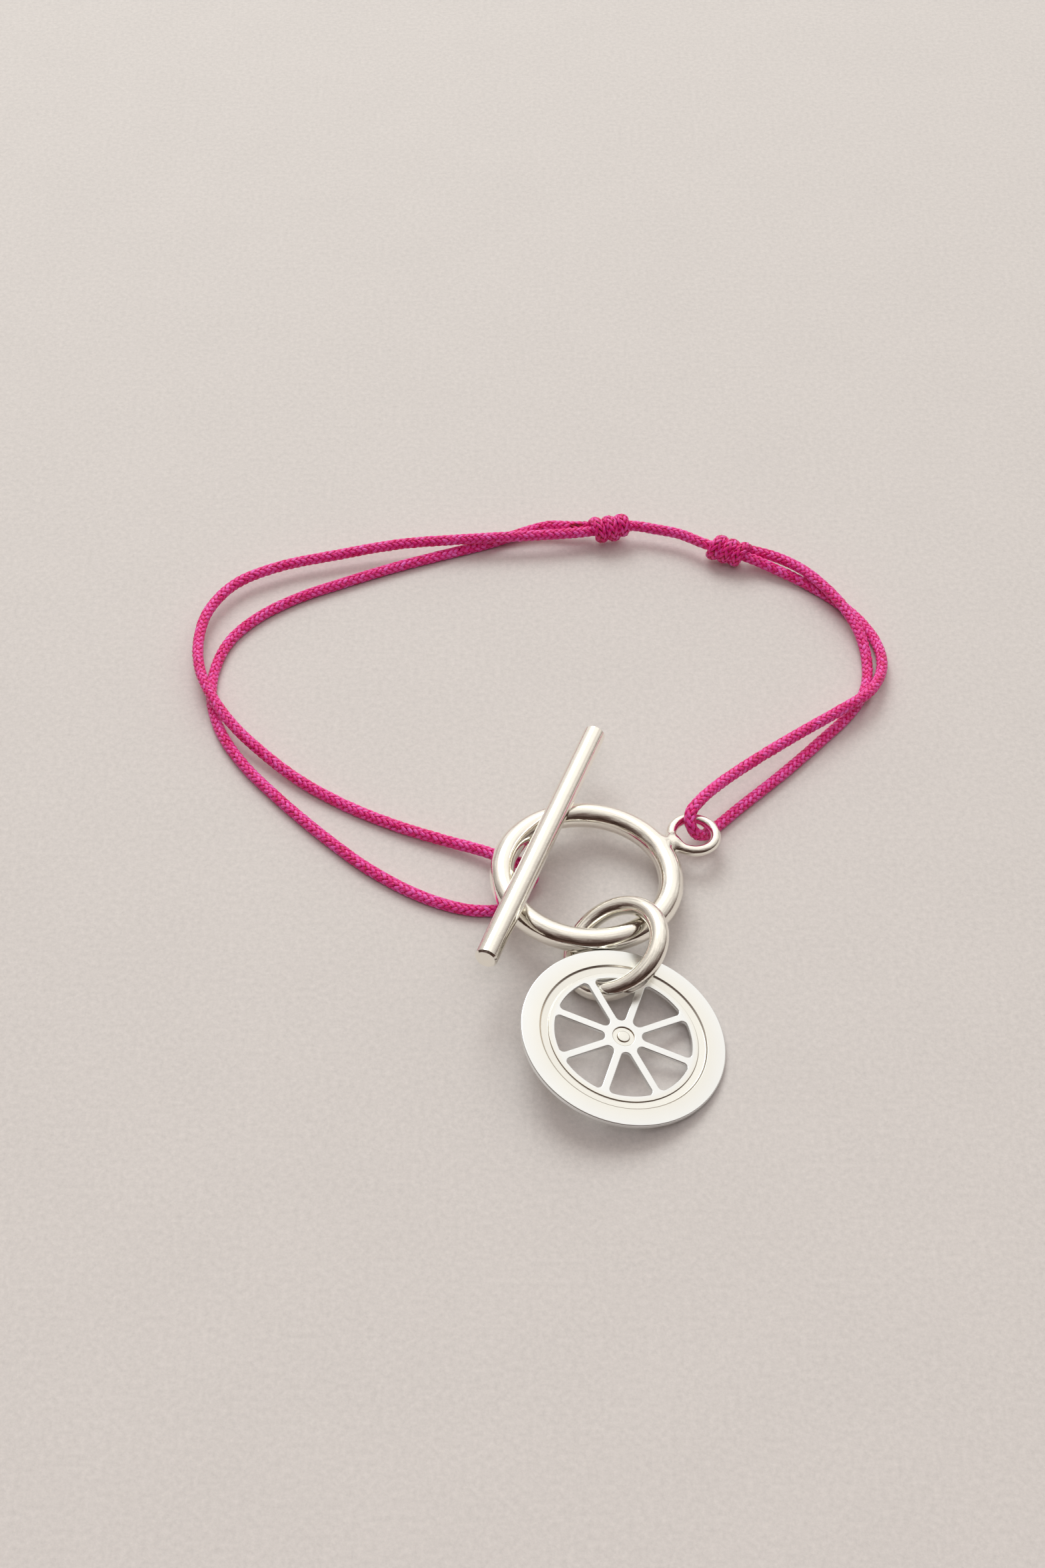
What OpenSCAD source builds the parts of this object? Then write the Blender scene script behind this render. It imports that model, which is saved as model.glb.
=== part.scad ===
// Cord bracelet with a toggle ring and bar, a connecting ring and a spoked wheel pendant.
// It lies loose on a surface. Millimetres, +Z up, surface at z = 0.
// Origin: middle of the wrist opening, on the surface. The pendant points to -Y.

/* [Toggle ring] */
// Outside diameter of the toggle ring
ring_d = 19.4; // [18.6:0.2:19.6]
// Diameter of the toggle ring's wire
ring_wire = 2.5; // [2.2:0.1:2.6]
// Outside diameter of the eye soldered to the toggle ring
eye_d = 5.6; // [5.2:0.1:6]
// Diameter of the wire of that eye
eye_wire = 1.1; // [0.9:0.1:1.1]

/* [Toggle bar] */
// Length of the bar
bar_len = 33.6; // [26:0.2:36]
// Diameter of the bar
bar_d = 2.3; // [2:0.1:2.4]
// Chamfer round each end of the bar
bar_chamfer = 0.2; // [0.1:0.05:0.4]
// Outside diameter of the eye soldered under the bar
bar_eye_d = 5.2; // [5:0.1:5.4]
// Diameter of the wire of the bar's eye
bar_eye_wire = 1; // [0.8:0.1:1]

/* [Connecting ring] */
// Outside diameter of the connecting ring
link_d = 11.5; // [11.3:0.1:11.6]
// Diameter of the connecting ring's wire
link_wire = 1.9; // [1.6:0.1:1.9]

/* [Wheel pendant] */
// Diameter of the wheel
wheel_d = 20; // [19.6:0.1:20]
// Thickness of the wheel's plate
wheel_t = 0.5; // [0.3:0.05:0.5]
// Width of the flat band round the edge
band_w = 1.8; // [1.4:0.1:2]
// Width of the hollow groove inside the band
groove_w = 0.9; // [0.5:0.1:0.9]
// Depth of the groove
groove_depth = 0.22; // [0.1:0.02:0.24]
// Width of the narrow flat ring inside the groove
inner_w = 0.6; // [0.5:0.1:0.8]
// Number of spokes
spokes = 8; // [6:1:8]
// Width of a spoke
spoke_w = 0.8; // [0.6:0.1:0.9]
// Diameter of the hub
hub_d = 3.6; // [3.4:0.1:4]
// Diameter of the hub's round button
button_d = 1.3; // [1:0.1:1.5]

/* [Cord] */
// Diameter of the braided cord
cord_d = 1.2; // [1:0.1:1.2]

/* [Sliding knots] */
// Length of a knot along the cord
knot_len = 4.7; // [4.4:0.1:4.8]
// Diameter of a knot over its wraps
knot_d = 3.3; // [3.1:0.1:3.3]
// Number of wraps in a knot
wraps = 4; // [3:1:4]

/* [Hidden] */

silver = "#d9d6d0";
satin = "#e6e3dd";
fuchsia = "#d63a86";

// Smoothness of the turned shapes
round_fn = 96;
small_fn = 48;

// Where each metal piece lies: its centre, and its turns about X, Y and Z
ring_at = [4.4, -29.6, 3.2];
ring_turn = [-1.3, 3.7, 0];
link_at = [7, -38.9, 3.35];
link_turn = [4.3, -29.3, 0];
wheel_at = [7.6, -49.1, 2.79];
wheel_turn = [2.4, 12.4, 28.3];
bar_at = [0, -27.4, 6.03];
bar_heading = 70.8;
bar_dip = 3.1;

ring_r = (ring_d - ring_wire) / 2;
link_r = (link_d - link_wire) / 2;
eye_r = (eye_d - eye_wire) / 2;
bar_eye_r = (bar_eye_d - bar_eye_wire) / 2;

// The toggle ring's eye: its bearing round the ring and the short neck that carries it
eye_bearing = 30;
neck_len = 0.2;
neck_r = 0.8;
neck_sink = 0.6;

// The bar's eye hangs to one side, and is sunk a little into the bar by its solder
bar_eye_lean = 22;
bar_eye_sink = 0.25;

// Wheel: the relief steps below the band's face
inner_step = 0.1;
edge_round = 0.08;
hub_groove_w = 0.4;
hub_groove_depth = 0.15;
button_rise = 0.06;
tip_r = 0.5;
corner_r = 0.45;

// Knots: the middle of each bore, and its dip and bearing from the left face to the right face
knot_left_mid = [7.8, 24.05, 1.95];
knot_left_turn = [0, 11.1];
knot_right_mid = [21.15, 20.5, 1.8];
knot_right_turn = [4, -22];
bore_gap = 0.08;

// The cord's route, end to end: from the left knot round the inner left strand to the bar's eye
route_left = [
    [5.1, 24.9, 1.6], [3.4, 24.9, 1.6], [1, 25.2, 1.4], [-2, 24.6, 0.9], [-5.5, 23.2, 0.6], [-10, 21.5, 0.6],
    [-16, 19.2, 0.6], [-22, 16.5, 0.6], [-27.5, 13.7, 0.6], [-31.5, 10.6, 0.6], [-34.2, 7, 0.6],
    [-35.5, 2.5, 0.6], [-35.5, -2, 0.6], [-34.1, -7, 0.6], [-31.4, -11.7, 0.6], [-27.4, -16.6, 0.6],
    [-22.4, -21.9, 0.6], [-17, -26.8, 0.6], [-11.5, -30.3, 0.6], [-7, -31.8, 0.6], [-4, -31.7, 0.7],
    [-3.03, -30.87, 0.77], [-2.21, -29.93, 0.7], [-1.47, -28.85, 0.7], [-0.88, -27.86, 1.36],
    [-1.87, -27.01, 2.15], [-3.03, -26.28, 1.69], [-4.2, -25.5, 1.5]
];
// Back from the bar's eye round the outer left strand to the left knot
route_back = [
    [-6, -24.4, 1.2], [-10, -22.7, 0.9], [-15, -20.5, 0.7], [-20, -17.8, 0.6], [-25.1, -14.4, 0.8],
    [-29.1, -10.9, 1.2], [-32.6, -7.2, 1.7], [-35.3, -2.9, 1.9], [-37, 1.5, 1.9], [-37.5, 6, 1.7],
    [-36.8, 10.8, 1.6], [-34.1, 15.2, 1.6], [-29.5, 18, 1.6], [-23, 20, 1.6], [-16, 21.6, 1.8],
    [-9, 22.3, 1.9], [-3, 22.7, 2], [1, 23, 2]
];
// From the right knot round the outer right strand, over the ring's eye and down through it
route_right = [
    [26.5, 18.2, 1.1], [30, 16.1, 0.7], [33, 13.4, 0.6], [35.3, 10.4, 0.6], [36.8, 7, 0.7], [37.2, 3.5, 1],
    [36.7, 0.8, 1.3], [35.1, -2.4, 1.9], [31.6, -5.5, 2.2], [27, -9.1, 2.4], [22.5, -12.9, 2.7],
    [18.4, -16.8, 3.1], [16.2, -19.6, 3.6], [15.1, -21.4, 3.6], [15.1, -22.4, 2.9], [15.6, -22.7, 2],
    [16.4, -22.3, 1.2], [17.3, -21.3, 0.8], [18.5, -20, 0.6]
];
// Back from the ring's eye round the inner right strand to the right knot
route_home = [
    [20.6, -17.8, 0.6], [25, -13.4, 0.6], [29.4, -8.6, 0.6], [32.9, -4.5, 0.6], [34.9, -1, 0.6], [35.6, 3, 0.7],
    [35.2, 7, 1.3], [33.8, 10.8, 1.8], [31.5, 14.6, 2], [29.2, 17.5, 1.9], [26.4, 19.8, 1.6],
    [24.1, 20.7, 1.6]
];

cord_sides = 8;

// Unit vector of v
function unit(v) = v / norm(v);

// A point on a knot's bore line, at a distance along it from the knot's middle
function on_line(mid, turn, along) =
    mid + along * [cos(turn[0]) * cos(turn[1]), cos(turn[0]) * sin(turn[1]), -sin(turn[0])];

// The straight stretch through a knot, which starts and ends a little outside its faces
lead = knot_len / 2 + 0.5;
through_left = [on_line(knot_left_mid, knot_left_turn, -lead), on_line(knot_left_mid, knot_left_turn, lead)];
through_right = [on_line(knot_right_mid, knot_right_turn, -lead), on_line(knot_right_mid, knot_right_turn, lead)];
between_knots = [[13, 24.1, 1.9], [16, 23.2, 1.9]];
route = concat(route_left, route_back, through_left, between_knots, through_right, route_right, route_home);

// Direction of a route at point i
function heading(path, i) =
    i == 0 ? unit(path[1] - path[0]) :
    i == len(path) - 1 ? unit(path[i] - path[i - 1]) :
    unit(unit(path[i + 1] - path[i]) + unit(path[i] - path[i - 1]));

// Side vector of each ring, carried along the route so that the tube does not twist
function carried(path, i, side) =
    let (t = heading(path, i), s = unit(side - (side * t) * t))
    i == len(path) - 1 ? [s] : concat([s], carried(path, i + 1, s));

// Points of the rings of a round tube along a route
function tube_points(path, r, n) =
    let (sides = carried(path, 0, cross(heading(path, 0), [0, 0, 1])))
    [for (i = [0 : len(path) - 1], k = [0 : n - 1])
        let (t = heading(path, i), s = sides[i], a = 360 * k / n)
        path[i] + r * (cos(a) * s + sin(a) * cross(t, s))];

// Faces of the tube: one band of quads between rings, and two flat ends
function tube_faces(count, n) = concat(
    [[for (k = [0 : n - 1]) k]],
    [for (i = [0 : count - 2], k = [0 : n - 1])
        [i * n + k, (i + 1) * n + k, (i + 1) * n + (k + 1) % n, i * n + (k + 1) % n]],
    [[for (k = [n - 1 : -1 : 0]) (count - 1) * n + k]]
);

// Ring of round wire: r is the radius of its centre line
module wire_ring(r, wire) {
    rotate_extrude($fn = round_fn)
        translate([r, 0])
            circle(d = wire, $fn = small_fn);
}

// Toggle ring with its soldered eye, one solid
module toggle_ring() {
    eye_out = ring_d / 2 + neck_len + eye_d / 2;
    color(silver)
        translate(ring_at)
            rotate(ring_turn) {
                wire_ring(ring_r, ring_wire);
                rotate([0, 0, eye_bearing]) {
                    translate([eye_out, 0, 0])
                        wire_ring(eye_r, eye_wire);
                    translate([ring_d / 2 - neck_sink, 0, 0])
                        rotate([0, 90, 0])
                            cylinder(r = neck_r, h = neck_sink + neck_len + eye_wire / 2, $fn = small_fn);
                }
            }
}

// Bar: a turned rod with chamfered ends, along X
module rod(length, d, chamfer) {
    r = d / 2;
    half = length / 2;
    rotate([0, 90, 0])
        rotate_extrude($fn = small_fn)
            polygon([[0, -half], [r - chamfer, -half], [r, chamfer - half],
                     [r, half - chamfer], [r - chamfer, half], [0, half]]);
}

// Toggle bar with its soldered eye below, one solid
module toggle_bar() {
    eye_down = bar_d / 2 + bar_eye_d / 2 - bar_eye_sink;
    color(silver)
        translate(bar_at)
            rotate([0, bar_dip, bar_heading]) {
                rod(bar_len, bar_d, bar_chamfer);
                rotate([bar_eye_lean, 0, 0])
                    translate([0, 0, -eye_down])
                        rotate([90, 0, 0])
                            wire_ring(bar_eye_r, bar_eye_wire);
            }
}

// Connecting ring, closed
module link_ring() {
    color(silver)
        translate(link_at)
            rotate(link_turn)
                wire_ring(link_r, link_wire);
}

// Cross-section of the wheel's rim: flat band, hollow groove, narrow flat ring. The band's face is at y = 0
module rim_profile() {
    out = wheel_d / 2;
    groove_out = out - band_w;
    groove_in = groove_out - groove_w;
    hole = groove_in - inner_w;
    difference() {
        polygon([[hole, -wheel_t], [out - edge_round, -wheel_t], [out, edge_round - wheel_t],
                 [out, -edge_round], [out - edge_round, 0], [groove_out, 0],
                 [groove_in, -inner_step], [hole, -inner_step]]);
        groove_cut((groove_out + groove_in) / 2, groove_w / 2, groove_depth);
    }
}

// Round-bottomed groove of half width w and depth d below y = 0, centred at x
module groove_cut(x, w, d) {
    r = (w * w + d * d) / (2 * d);
    translate([x, r - d])
        circle(r = r, $fn = round_fn);
}

// Hub: a disc with a ring groove round a low button
module hub() {
    top = -inner_step;
    groove_mid = button_d / 2 + hub_groove_w / 2;
    rotate_extrude($fn = small_fn)
        difference() {
            translate([0, -wheel_t])
                square([hub_d / 2, wheel_t + top]);
            translate([groove_mid, top])
                circle(r = hub_groove_depth, $fn = small_fn);
        }
    translate([0, 0, top - button_rise])
        cylinder(r = button_d / 2 - 0.05, h = 2 * button_rise, $fn = small_fn);
}

// Corner of a gap: an arc of radius r about c, from angle a to angle b
function arc(c, r, a, b, n) = [for (i = [0 : n]) c + r * [cos(a + (b - a) * i / n), sin(a + (b - a) * i / n)]];

// Outline of one gap between two spokes, pointing along +X, with rounded corners
function gap_outline(out, half_angle, inset) =
    let (
        tip_x = inset / sin(half_angle) + tip_r / sin(half_angle),
        far = out - corner_r,
        corner_a = half_angle - asin((inset + corner_r) / far),
        corner = far * [cos(corner_a), sin(corner_a)],
        low = [corner[0], -corner[1]]
    )
    concat(
        arc([tip_x, 0], tip_r, 90 + half_angle, 270 - half_angle, 6),
        arc(low, corner_r, -90 - half_angle, -corner_a, 6),
        arc([0, 0], out, -corner_a + 1, corner_a - 1, 10),
        arc(corner, corner_r, corner_a, 90 + half_angle, 6)
    );

// Spoked plate between the hub and the rim
module spoke_plate() {
    hole = wheel_d / 2 - band_w - groove_w - inner_w;
    half_angle = 180 / spokes;
    translate([0, 0, -wheel_t])
        linear_extrude(wheel_t - inner_step)
            difference() {
                circle(r = hole + inner_w / 2, $fn = round_fn);
                for (k = [0 : spokes - 1])
                    rotate((k + 0.5) * 360 / spokes)
                        polygon(gap_outline(hole, half_angle, spoke_w / 2));
            }
}

// Wheel pendant: rim, spokes and hub in one solid
module wheel_pendant() {
    color(satin)
        translate(wheel_at)
            rotate([wheel_turn[0], wheel_turn[1], 0])
                rotate([0, 0, wheel_turn[2]]) {
                    rotate_extrude($fn = round_fn)
                        rim_profile();
                    spoke_plate();
                    hub();
                }
}

// The cord, one tube from knot to knot with a straight stretch through each knot
module cord() {
    color(fuchsia)
        polyhedron(tube_points(route, cord_d / 2, cord_sides), tube_faces(len(route), cord_sides), 4);
}

// Sliding knot: wraps side by side round a bore for the cord that slides through
module knot(mid, turn) {
    wrap_r = 0.62;
    core_r = knot_d / 2 - 0.2;
    step = (knot_len - 2 * wrap_r) / (wraps - 1);
    color(fuchsia)
        translate(mid)
            rotate([0, 90 + turn[0], turn[1]])
                difference() {
                    union() {
                        cylinder(r = core_r, h = knot_len, center = true, $fn = small_fn);
                        for (k = [0 : wraps - 1])
                            translate([0, 0, k * step + wrap_r - knot_len / 2])
                                wire_ring(knot_d / 2 - wrap_r, 2 * wrap_r);
                    }
                    cylinder(r = cord_d / 2 + bore_gap, h = knot_len + 1, center = true, $fn = small_fn);
                }
}

module knot_left() {
    knot(knot_left_mid, knot_left_turn);
}

module knot_right() {
    knot(knot_right_mid, knot_right_turn);
}

toggle_ring();
toggle_bar();
link_ring();
wheel_pendant();
cord();
knot_left();
knot_right();
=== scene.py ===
"""Cord bracelet: the looks of every piece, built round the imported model. Metres, +Z up."""
import math

import bpy
import numpy as np
from mathutils import Matrix, Vector


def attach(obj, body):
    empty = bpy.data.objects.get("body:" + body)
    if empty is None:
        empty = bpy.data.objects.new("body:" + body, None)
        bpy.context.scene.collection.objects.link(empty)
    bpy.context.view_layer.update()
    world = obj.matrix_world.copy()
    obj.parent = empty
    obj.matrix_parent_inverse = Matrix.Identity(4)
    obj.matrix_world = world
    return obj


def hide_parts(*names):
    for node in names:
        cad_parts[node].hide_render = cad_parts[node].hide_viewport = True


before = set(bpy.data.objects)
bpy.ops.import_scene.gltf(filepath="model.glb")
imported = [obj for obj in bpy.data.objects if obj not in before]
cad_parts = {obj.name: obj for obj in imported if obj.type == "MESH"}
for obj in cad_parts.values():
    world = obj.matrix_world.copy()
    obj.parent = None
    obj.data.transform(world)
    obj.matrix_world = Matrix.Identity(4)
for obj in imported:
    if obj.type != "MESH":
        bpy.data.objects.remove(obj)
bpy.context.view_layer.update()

MM = 0.001

# Camera: looks along +Y and 47 degrees down at the middle of the bracelet; lens and sensor in millimetres
CAMERA_TARGET = Vector((-0.002, -0.014, 0))
CAMERA_DOWN = math.radians(47)
CAMERA_DISTANCE = 0.267
CAMERA_LENS, CAMERA_SENSOR = 58.55, 36
CAMERA_CLIP = 5 * MM

# Cord: its route from the left knot to the right one, as in the part's source
ROUTE_LEFT = [
    (0.0051, 0.0249, 0.0016), (0.0034, 0.0249, 0.0016), (0.001, 0.0252, 0.0014), (-0.002, 0.0246, 0.0009),
    (-0.0055, 0.0232, 0.0006), (-0.01, 0.0215, 0.0006), (-0.016, 0.0192, 0.0006), (-0.022, 0.0165, 0.0006),
    (-0.0275, 0.0137, 0.0006), (-0.0315, 0.0106, 0.0006), (-0.0342, 0.007, 0.0006),
    (-0.0355, 0.0025, 0.0006), (-0.0355, -0.002, 0.0006), (-0.0341, -0.007, 0.0006),
    (-0.0314, -0.0117, 0.0006), (-0.0274, -0.0166, 0.0006), (-0.0224, -0.0219, 0.0006),
    (-0.017, -0.0268, 0.0006), (-0.0115, -0.0303, 0.0006), (-0.007, -0.0318, 0.0006),
    (-0.004, -0.0317, 0.0007), (-0.00303, -0.03087, 0.00077), (-0.00221, -0.02993, 0.0007),
    (-0.00147, -0.02885, 0.0007), (-0.00088, -0.02786, 0.00136), (-0.00187, -0.02701, 0.00215),
    (-0.00303, -0.02628, 0.00169), (-0.0042, -0.0255, 0.0015),
]
ROUTE_BACK = [
    (-0.006, -0.0244, 0.0012), (-0.01, -0.0227, 0.0009), (-0.015, -0.0205, 0.0007),
    (-0.02, -0.0178, 0.0006), (-0.0251, -0.0144, 0.0008), (-0.0291, -0.0109, 0.0012),
    (-0.0326, -0.0072, 0.0017), (-0.0353, -0.0029, 0.0019), (-0.037, 0.0015, 0.0019),
    (-0.0375, 0.006, 0.0017), (-0.0368, 0.0108, 0.0016), (-0.0341, 0.0152, 0.0016),
    (-0.0295, 0.018, 0.0016), (-0.023, 0.02, 0.0016), (-0.016, 0.0216, 0.0018), (-0.009, 0.0223, 0.0019),
    (-0.003, 0.0227, 0.002), (0.001, 0.023, 0.002),
]
BETWEEN_KNOTS = [(0.013, 0.0241, 0.0019), (0.016, 0.0232, 0.0019)]
ROUTE_RIGHT = [
    (0.0265, 0.0182, 0.0011), (0.03, 0.0161, 0.0007), (0.033, 0.0134, 0.0006), (0.0353, 0.0104, 0.0006),
    (0.0368, 0.007, 0.0007), (0.0372, 0.0035, 0.001), (0.0367, 0.0008, 0.0013), (0.0351, -0.0024, 0.0019),
    (0.0316, -0.0055, 0.0022), (0.027, -0.0091, 0.0024), (0.0225, -0.0129, 0.0027),
    (0.0184, -0.0168, 0.0031), (0.0162, -0.0196, 0.0036), (0.0151, -0.0214, 0.0036),
    (0.0151, -0.0224, 0.0029), (0.0156, -0.0227, 0.002), (0.0164, -0.0223, 0.0012),
    (0.0173, -0.0213, 0.0008), (0.0185, -0.02, 0.0006),
]
ROUTE_HOME = [
    (0.0206, -0.0178, 0.0006), (0.025, -0.0134, 0.0006), (0.0294, -0.0086, 0.0006),
    (0.0329, -0.0045, 0.0006), (0.0349, -0.001, 0.0006), (0.0356, 0.003, 0.0007), (0.0352, 0.007, 0.0013),
    (0.0338, 0.0108, 0.0018), (0.0315, 0.0146, 0.002), (0.0292, 0.0175, 0.0019), (0.0264, 0.0198, 0.0016),
    (0.0241, 0.0207, 0.0016),
]
CORD_D = 1.2 * MM
# Samples between two points of a route, and the steps and smoothing lengths of the curves made from them
CURVE_PARTS = 40
CORD_STEP, CORD_SOFTEN = 0.05 * MM, 0.5 * MM
WRAP_STEP, WRAP_SOFTEN = 0.04 * MM, 0.25 * MM

# Knots: middle of each bore, dip and bearing of the bore, from the left face to the right one
KNOT_LEFT_MID, KNOT_LEFT_TURN = (0.0078, 0.02405, 0.00195), (0, 11.1)
KNOT_RIGHT_MID, KNOT_RIGHT_TURN = (0.02115, 0.0205, 0.0018), (4, -22)
KNOT_LEN = 4.7 * MM
# Half of the cord's straight stretch through a knot
KNOT_LEAD = KNOT_LEN / 2 + 0.5 * MM
# Wraps of each knot: angle from the back over the top, place along the bore and radius
WRAPS_LEFT = ((-20, -1.9 * MM, 1.02 * MM), (43, -1.4 * MM, 1.02 * MM), (90, -1.3 * MM, 1.05 * MM),
              (180, -1.1 * MM, 1.08 * MM), (223, -0.85 * MM, 1.04 * MM), (270, -0.6 * MM, 1.02 * MM),
              (403, 0.1 * MM, 1.08 * MM), (540, 0.35 * MM, 1.08 * MM), (583, 0.55 * MM, 1.05 * MM),
              (720, 1.3 * MM, 1.02 * MM), (763, 1.55 * MM, 1.1 * MM), (850, 1.75 * MM, 1.05 * MM),
              (930, 1.5 * MM, 0.7 * MM))
WRAPS_RIGHT = ((40, 1.95 * MM, 1.05 * MM), (90, 1.7 * MM, 1 * MM), (223, 1.15 * MM, 1 * MM),
               (270, 1.0 * MM, 1.02 * MM), (450, 0.4 * MM, 1.12 * MM), (583, -0.15 * MM, 1.05 * MM),
               (630, -0.3 * MM, 1.05 * MM), (810, -0.95 * MM, 1.12 * MM), (900, -1.3 * MM, 1.12 * MM),
               (970, -1.55 * MM, 1.05 * MM), (1040, -1.4 * MM, 0.7 * MM))
# Degrees between two points of the wraps, and how far a cord's end runs on before it turns round the knot
WRAP_TURN, TAIL_RUN = 15, 0.3 * MM
# Share of their thickness that the wraps lose by being pulled tight, and the share of their length at which
# that starts; it is whole at twice that length
WRAP_PRESS, WRAP_PRESS_FROM = 0.25, 1 / 12
# Share that is lost where the cord is folded round an eye, how far from the wire that ends, and the distance
# over which it grows
EYE_PRESS = 0.35
PRESS_REACH, PRESS_FADE = 0.8 * CORD_D, 0.5 * CORD_D
# Share of that loss by which a pressed cord grows wider
PRESS_SPREAD = 0.8

# Braid: eight strands each way round a core. Each goes over two and under two, so it shows once in two
# stitches
STRANDS = 8
STITCH = 0.71 * MM
BRAID_LEAD = STRANDS * STITCH
STRAND_W = 0.41 * MM
STRAND_T = 0.2 * MM
STRAND_MID = 0.465 * MM
STRAND_SWING = 0.052 * MM
# Where in its wave the first strand of each hand starts, and the number that its yarn's texture starts at
PHASE = {1: 0.125, -1: 0.375}
YARN_SEED = {1: 3.5, -1: 11.5}
# Share by which a strand is narrower halfway down than on its crest
NARROWING = 0.14
# Radius of the core, and its low tone on the yarn's ramp, which paints it dark as shade where it shows
# between the strands
CORE_R, CORE_SHADE = 0.465 * MM, 0.12
CORE_SIDES, CORE_STEP, CORE_INSET = 8, 0.4 * MM, 0.05 * MM
# Places along one wave where a strand has a ring of points: seven on its crest, one where it is under
RING_PLACES = (-0.29, -0.2, -0.1, 0, 0.1, 0.2, 0.29, 0.5)
# How square the wave is, and how much the strands wander, in radians round the cord, outwards and in tone
WAVE_SHARPNESS = 1.7
UNEVEN_ANGLE, UNEVEN_OUT, UNEVEN_TONE = 0.065, 0.009 * MM, 0.1
# Cross-section of a strand, in half widths and half thicknesses: a low arch on a flat base
STRAND_SECTION = ((1, -0.6), (0.72, 0.55), (0, 1), (-0.72, 0.55), (-1, -0.6))

# Metal pieces: sizes as in the part's source
RING_R, RING_WIRE = 8.45 * MM, 2.5 * MM
EYE_R, EYE_WIRE = 2.25 * MM, 1.1 * MM
RING_AT, RING_TURN = (4.4 * MM, -29.6 * MM, 3.2 * MM), (-1.3, 3.7, 0)
EYE_BEARING = 30
EYE_OUT = 12.7 * MM
# Neck between ring and eye: where its middle line starts and ends, the cylinder that stands in for it before
# the fit, and the reach of its solder fillets
NECK_R, NECK_FROM, NECK_TO = 0.85 * MM, RING_R + 0.6 * MM, EYE_OUT - EYE_R - 0.45 * MM
NECK_MID, NECK_LEN = RING_R + 1.3 * MM, 2 * MM
SOLDER = 0.75 * MM
BAR_LEN, BAR_D, BAR_CHAMFER, BAR_SOFT = 33.6 * MM, 2.3 * MM, 0.2 * MM, 0.05 * MM
BAR_AT, BAR_DIP, BAR_HEADING = (0, -27.4 * MM, 6.03 * MM), 3.1, 70.8
BAR_EYE_R, BAR_EYE_WIRE, BAR_EYE_DOWN, BAR_EYE_LEAN = 2.1 * MM, 1 * MM, 3.5 * MM, 22
LINK_R, LINK_WIRE = 4.8 * MM, 1.9 * MM
LINK_AT, LINK_TURN = (7 * MM, -38.9 * MM, 3.35 * MM), (4.3, -29.3, 0)
WHEEL_AT, WHEEL_TURN = (7.6 * MM, -49.1 * MM, 2.79 * MM), (2.4, 12.4, 28.3)
WHEEL_R, WHEEL_T = 10 * MM, 0.5 * MM
BAND_W, GROOVE_W, INNER_W = 1.8 * MM, 0.9 * MM, 0.6 * MM
GROOVE_DEPTH, INNER_STEP = 0.22 * MM, 0.1 * MM
SPOKES, SPOKE_W = 8, 0.8 * MM
# Groove: depth where its outer slope ends, width of that slope and of its inner wall
GROOVE_DROP, GROOVE_SLOPE, GROOVE_WALL = 0.16 * MM, 0.16 * MM, 0.06 * MM
# Hub: a round sink with a button in it
SINK_R, SINK_DEPTH = 1.04 * MM, 0.13 * MM
BUTTON_R, BUTTON_RISE = 0.64 * MM, 0.02 * MM
# Radii of the corners of a gap between two spokes: by the hub and by the rim
TIP_R, CORNER_R = 0.5 * MM, 0.45 * MM
# Radii of the wheel's edges: the usual one, then the rim's top, the groove's top, its foot by the slope, its
# foot by the inner wall, the inner ring and the button
EDGE_R = 0.1 * MM
RIM_EDGE, GROOVE_EDGE, SLOPE_FOOT = 1.2 * EDGE_R, 0.5 * EDGE_R, 1.6 * EDGE_R
WALL_FOOT, INNER_EDGE, BUTTON_EDGE = 0.5 * EDGE_R, 0.4 * EDGE_R, 1.2 * EDGE_R
# How far in and how far down the button's shoulder is
BUTTON_SHOULDER = (EDGE_R / 2, EDGE_R / 3)
# Height step that keeps two flat faces of the wheel's parts apart before they are joined, and the width by
# which the rim and the plate overlap
HAIR, OVERLAP = 0.005 * MM, 0.05 * MM

# Fineness of the metal: points round the wire and round the ring of each round wire
RING_POINTS, EYE_POINTS, BAR_EYE_POINTS, LINK_POINTS = (32, 128), (24, 64), (32, 96), (48, 160)
NECK_SIDES, BAR_SIDES, RIM_SIDES, HUB_SIDES, PLATE_SIDES = 32, 96, 256, 96, 160
# Points on a rounded edge of the bar and of the wheel, lengths in the bar's middle half, and rings on an
# edge of the plate
BAR_EDGE_POINTS, WHEEL_EDGE_POINTS, BAR_PARTS, BEVEL_RINGS = 4, 6, 8, 3
# Points round a gap's tip, each of its corners and its outer side, and the degrees that the side is
# shorter at each end
TIP_POINTS, CORNER_POINTS, SIDE_POINTS, SIDE_INSET = 9, 11, 14, 1
# In millimetres: distance at which points are merged, and voxel of the toggle ring's skin before its fit
MERGE, VOXEL = 0.001, 0.13
# Steps of that fit, and the distance over which a slope is measured
FIT_STEPS, FIT_EPS = 5, 0.002 * MM
# Edges sharper than this, in degrees, stay sharp
SHARP_NONE, SHARP_BAR, SHARP_WHEEL = 180, 50, 40
# Weight of a face's size in the normals of its points: the most that there is
FLAT_WEIGHT = 100
# Least divisors: of a squared distance between unit vectors, and of a share
LEAST_SQUARE, LEAST_SHARE = 1e-20, 1e-9

# Yarn: how quickly its filaments change along a strand, across it, and from strand to strand
FILAMENT_STRETCH = (0.9, 3.2, 7.3)
# Shares of the strand's lift, of its filaments and of the cord's blotches in the yarn's tone; the lift's
# share is painted shade where a strand dives under and a paler painted highlight on its crest
LIFT_SHADE_SHARE, FILAMENT_SHARE, BLOTCH_SHARE = 0.62, 0.42, 0.12
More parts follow.
